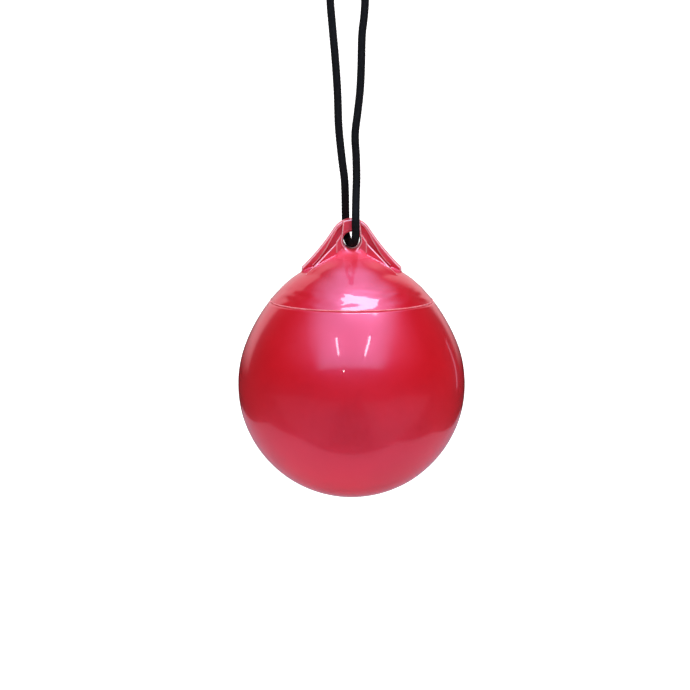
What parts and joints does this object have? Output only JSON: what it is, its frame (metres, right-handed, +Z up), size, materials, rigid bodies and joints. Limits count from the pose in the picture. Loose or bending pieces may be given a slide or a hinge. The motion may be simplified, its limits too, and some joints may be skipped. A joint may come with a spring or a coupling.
{
  "type": "hanging water-filled punching bag",
  "caption": "Round soft PVC punching bag with a finned hanging lug, hung by a braided cord through its eye that ends in a knotted loop; screw filler plug in the rear shoulder.",
  "frame": {"origin": "inside top of the cord's loop, where it bears on the hook the bag hangs from", "axes": "+Z up, +X to the right along the lug's main ribs, +Y away from the viewer along the lug's eye; the filler is on the +Y side"},
  "size_m": [0.3, 0.2998, 0.8598],
  "materials": {
    "red_pvc": "pearlescent gloss, soft moulded PVC",
    "black_braid": "matte braided cord cover",
    "braid_core": "undyed fibre core",
    "black_nylon": "moulded satin",
    "seal_rubber": "soft matte"
  },
  "bodies": {
    "hanging_loop": {"loop_sheath": "black_braid", "loop_core": "braid_core", "knot_sheath": "black_braid", "knot_core": "braid_core"},
    "cord_neck": {"neck_sheath": "black_braid", "neck_core": "braid_core"},
    "cord_legs": {"legs_sheath": "black_braid", "legs_core": "braid_core"},
    "cord_link": {"link_sheath": "black_braid", "link_core": "braid_core"},
    "cord_bight": {"bight_sheath": "black_braid", "bight_core": "braid_core"},
    "bag": {"lower_shell": "red_pvc", "shoulder_cap": "red_pvc", "hanging_lug": "red_pvc", "valve_flange": "red_pvc", "filler_neck": "black_nylon"},
    "seal_ring": {"plug_seal": "seal_rubber"},
    "plug": {"filler_plug": "black_nylon"}
  },
  "joints": [
    {"name": "swing_fore_aft", "type": "hinge", "parent": "hanging_loop", "child": "cord_neck", "pos_m": [0, 0, -0.108], "axis": [1, 0, 0], "range_deg": [-60, 60]},
    {"name": "swing_side", "type": "hinge", "parent": "cord_neck", "child": "cord_legs", "pos_m": [0, 0, -0.128], "axis": [0, 1, 0], "range_deg": [-45, 45]},
    {"name": "spin", "type": "hinge", "parent": "cord_legs", "child": "cord_link", "pos_m": [0, 0, -0.416], "axis": [0, 0, 1], "range_deg": [-150, 150]},
    {"name": "nod", "type": "hinge", "parent": "cord_link", "child": "cord_bight", "pos_m": [0, 0, -0.444], "axis": [1, 0, 0], "range_deg": [-35, 35]},
    {"name": "rock", "type": "hinge", "parent": "cord_bight", "child": "bag", "pos_m": [0, 0, -0.507], "axis": [0, 1, 0], "range_deg": [-60, 60]},
    {"name": "plug_lift", "type": "slide", "parent": "bag", "child": "seal_ring", "axis": [0, 0.5878, 0.809], "range_m": [0, 0.009]},
    {"name": "plug_turn", "type": "hinge", "parent": "seal_ring", "child": "plug", "pos_m": [0, 0.07662, -0.55742], "axis": [0, 0.5878, 0.809], "range_deg": [0, 1080]}
  ],
  "couplings": [
    {"joint": "plug_turn", "follows": "plug_lift", "rad_per_m": 2094.4}
  ]
}
